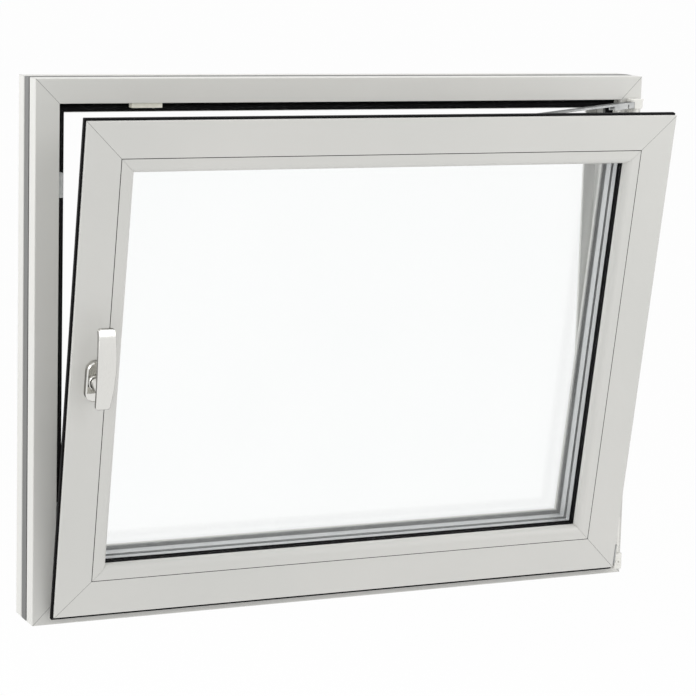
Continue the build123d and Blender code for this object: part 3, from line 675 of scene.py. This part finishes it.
hand_over(set_screws("sash_screws", SASH_SCREWS), gear_steel)
hand_over(set_screws("frame_screws", FRAME_SCREWS), gear_steel, on_sash=False)
bpy.data.objects.remove(screw)

# %% [markdown]
# The studio has a pale floor at the height of a room's floor under a window, a white backdrop
# that comes from the world, and soft light. The world is white to the camera and in reflections,
# and a softer grey as light on the object, so that the backdrop never burns out the profiles.

# %% World
WORLD_LIGHT = 0.585


def studio_world(light):
    world = bpy.data.worlds.new("studio")
    world.use_nodes = True
    backdrop = world.node_tree.nodes["Background"]
    ambient = add_node(world, "ShaderNodeBackground")
    for background, strength in ((backdrop, 1.0), (ambient, light)):
        background.inputs["Color"].default_value = (1, 1, 1, 1)
        background.inputs["Strength"].default_value = strength
    path = add_node(world, "ShaderNodeLightPath")
    seen = add_node(world, "ShaderNodeMath", operation="MAXIMUM")
    through = add_node(world, "ShaderNodeMath", operation="MAXIMUM")
    mix = add_node(world, "ShaderNodeMixShader")
    join(world, path.outputs["Is Camera Ray"], seen.inputs[0])
    join(world, path.outputs["Is Glossy Ray"], seen.inputs[1])
    join(world, seen.outputs["Value"], through.inputs[0])
    join(world, path.outputs["Is Transmission Ray"], through.inputs[1])
    join(world, through.outputs["Value"], mix.inputs["Fac"])
    join(world, ambient.outputs["Background"], mix.inputs[1])
    join(world, backdrop.outputs["Background"], mix.inputs[2])
    join(world, mix.outputs["Shader"], world.node_tree.nodes["World Output"].inputs["Surface"])
    bpy.context.scene.world = world


studio_world(WORLD_LIGHT)
print("the world lights the window at", WORLD_LIGHT)

# %% [markdown]
# The floor is one wide plane, white as the backdrop. It still takes shadow: most of what it shows
# is its own glow, seen by the camera and in reflections alone, and the rest is paint that the
# lamps light.

# %% Paint of the floor
FLOOR_GLOW = 0.96


def floor_paint():
    finish, shader = blank_finish("floor_paint", 0.8)
    wear = noise(finish, 1.5)
    two_tone(finish, wear, (250, 250, 250), (255, 255, 255), shader.inputs["Base Color"])
    glow = add_node(finish, "ShaderNodeEmission")
    glow.inputs["Strength"].default_value = 1.0
    path = add_node(finish, "ShaderNodeLightPath")
    seen = add_node(finish, "ShaderNodeMath", operation="MAXIMUM")
    share = add_node(finish, "ShaderNodeMath", operation="MULTIPLY")
    share.inputs[1].default_value = FLOOR_GLOW
    mix = add_node(finish, "ShaderNodeMixShader")
    surface = finish.node_tree.nodes["Material Output"].inputs["Surface"]
    join(finish, path.outputs["Is Camera Ray"], seen.inputs[0])
    join(finish, path.outputs["Is Glossy Ray"], seen.inputs[1])
    join(finish, seen.outputs["Value"], share.inputs[0])
    join(finish, share.outputs["Value"], mix.inputs["Fac"])
    join(finish, shader.outputs["BSDF"], mix.inputs[1])
    join(finish, glow.outputs["Emission"], mix.inputs[2])
    join(finish, mix.outputs["Shader"], surface)
    return finish


# %% [markdown]
# The floor is a plane of its own, not attached to the window, so that it is in the picture and
# not in the window.

# %% Floor
FLOOR_DROP, FLOOR_SIZE = 0.9, 120

bpy.ops.object.select_all(action="DESELECT")
bpy.ops.mesh.primitive_plane_add(size=FLOOR_SIZE, location=(0, 0, -FLOOR_DROP))
floor = bpy.context.object
floor.name = "floor"
floor.data.materials.append(floor_paint())
print("the floor lies", FLOOR_DROP, "m below the window")

# %% [markdown]
# Six area lamps stand in for softboxes. Three stand before the window, of which the left one is
# the strongest. One lights the frame's left side, one its top, and one behind the window lights
# the sash's reveal through the glass. Big lamps give soft edges to every shadow.

# %% Lamps
SOFTBOXES = [  # name, place, what it faces, size, watts
    ("softbox_front", (0.6, -3.0, 2.0), (0, 0, 0.46), (1.2, 1.2), 8),
    ("softbox_right", (1.7, -1.3, 1.1), (0.4, 0, 0.46), (1.0, 1.4), 11),
    ("softbox_left", (-2.9, -2.4, 1.2), (0, 0, 0.36), (2.0, 2.0), 22),
    ("softbox_side", (-3.2, -0.1, 0.7), (0, -0.1, 0.46), (1.0, 1.6), 15),
    ("softbox_above", (0.1, -0.1, 3.4), (0, -0.1, 0.46), (2.4, 0.8), 30),
    ("softbox_back", (-2.0, 2.2, 1.6), (0.3, 0, 0.46), (1.2, 1.2), 38),
]


def softbox(name, place, target, size, watts):
    data = bpy.data.lights.new(name, "AREA")
    data.shape = "RECTANGLE"
    data.size, data.size_y = size
    data.energy = watts
    lamp = bpy.data.objects.new(name, data)
    bpy.context.scene.collection.objects.link(lamp)
    lamp.location = place
    aim = Vector(target) - Vector(place)
    lamp.rotation_euler = aim.to_track_quat("-Z", "Y").to_euler()


for row in SOFTBOXES:
    softbox(*row)
print(len(SOFTBOXES), "lamps of", sum(row[-1] for row in SOFTBOXES), "watts in all")

# %% [markdown]
# The camera stands to the left of the window, a little above its head, and looks down by ten
# degrees. Its distance and lens come from how the frame's edges converge.

# %% Camera
CAMERA_PLACE = (-1.7756, -3.9577, 1.1764)
YAW, PITCH, ROLL = math.radians(24.42), math.radians(-9.79), math.radians(1.56)
SENSOR, FOCAL_PIXELS, PICTURE_PIXELS = 36.0, 2585, 696
LENS = SENSOR * FOCAL_PIXELS / PICTURE_PIXELS

camera_data = bpy.data.cameras.new("camera")
camera_data.sensor_width = SENSOR
camera_data.lens = LENS
camera = bpy.data.objects.new("camera", camera_data)
bpy.context.scene.collection.objects.link(camera)
turn = Matrix.Rotation(-YAW, 4, "Z") @ Matrix.Rotation(math.pi / 2 + PITCH, 4, "X")
turn = turn @ Matrix.Rotation(ROLL, 4, "Z")
camera.matrix_world = Matrix.Translation(CAMERA_PLACE) @ turn
bpy.context.scene.camera = camera
print("camera at", CAMERA_PLACE, "lens", round(LENS, 1))

# %% [markdown]
# Last, colours are shown as they are. Light may pass or bounce often enough to get through all
# the panes.

# %% Colour and bounces
bpy.context.scene.view_settings.view_transform = "Standard"
cycles = bpy.context.scene.cycles
cycles.transparent_max_bounces = 32
cycles.glossy_bounces = cycles.max_bounces = 16
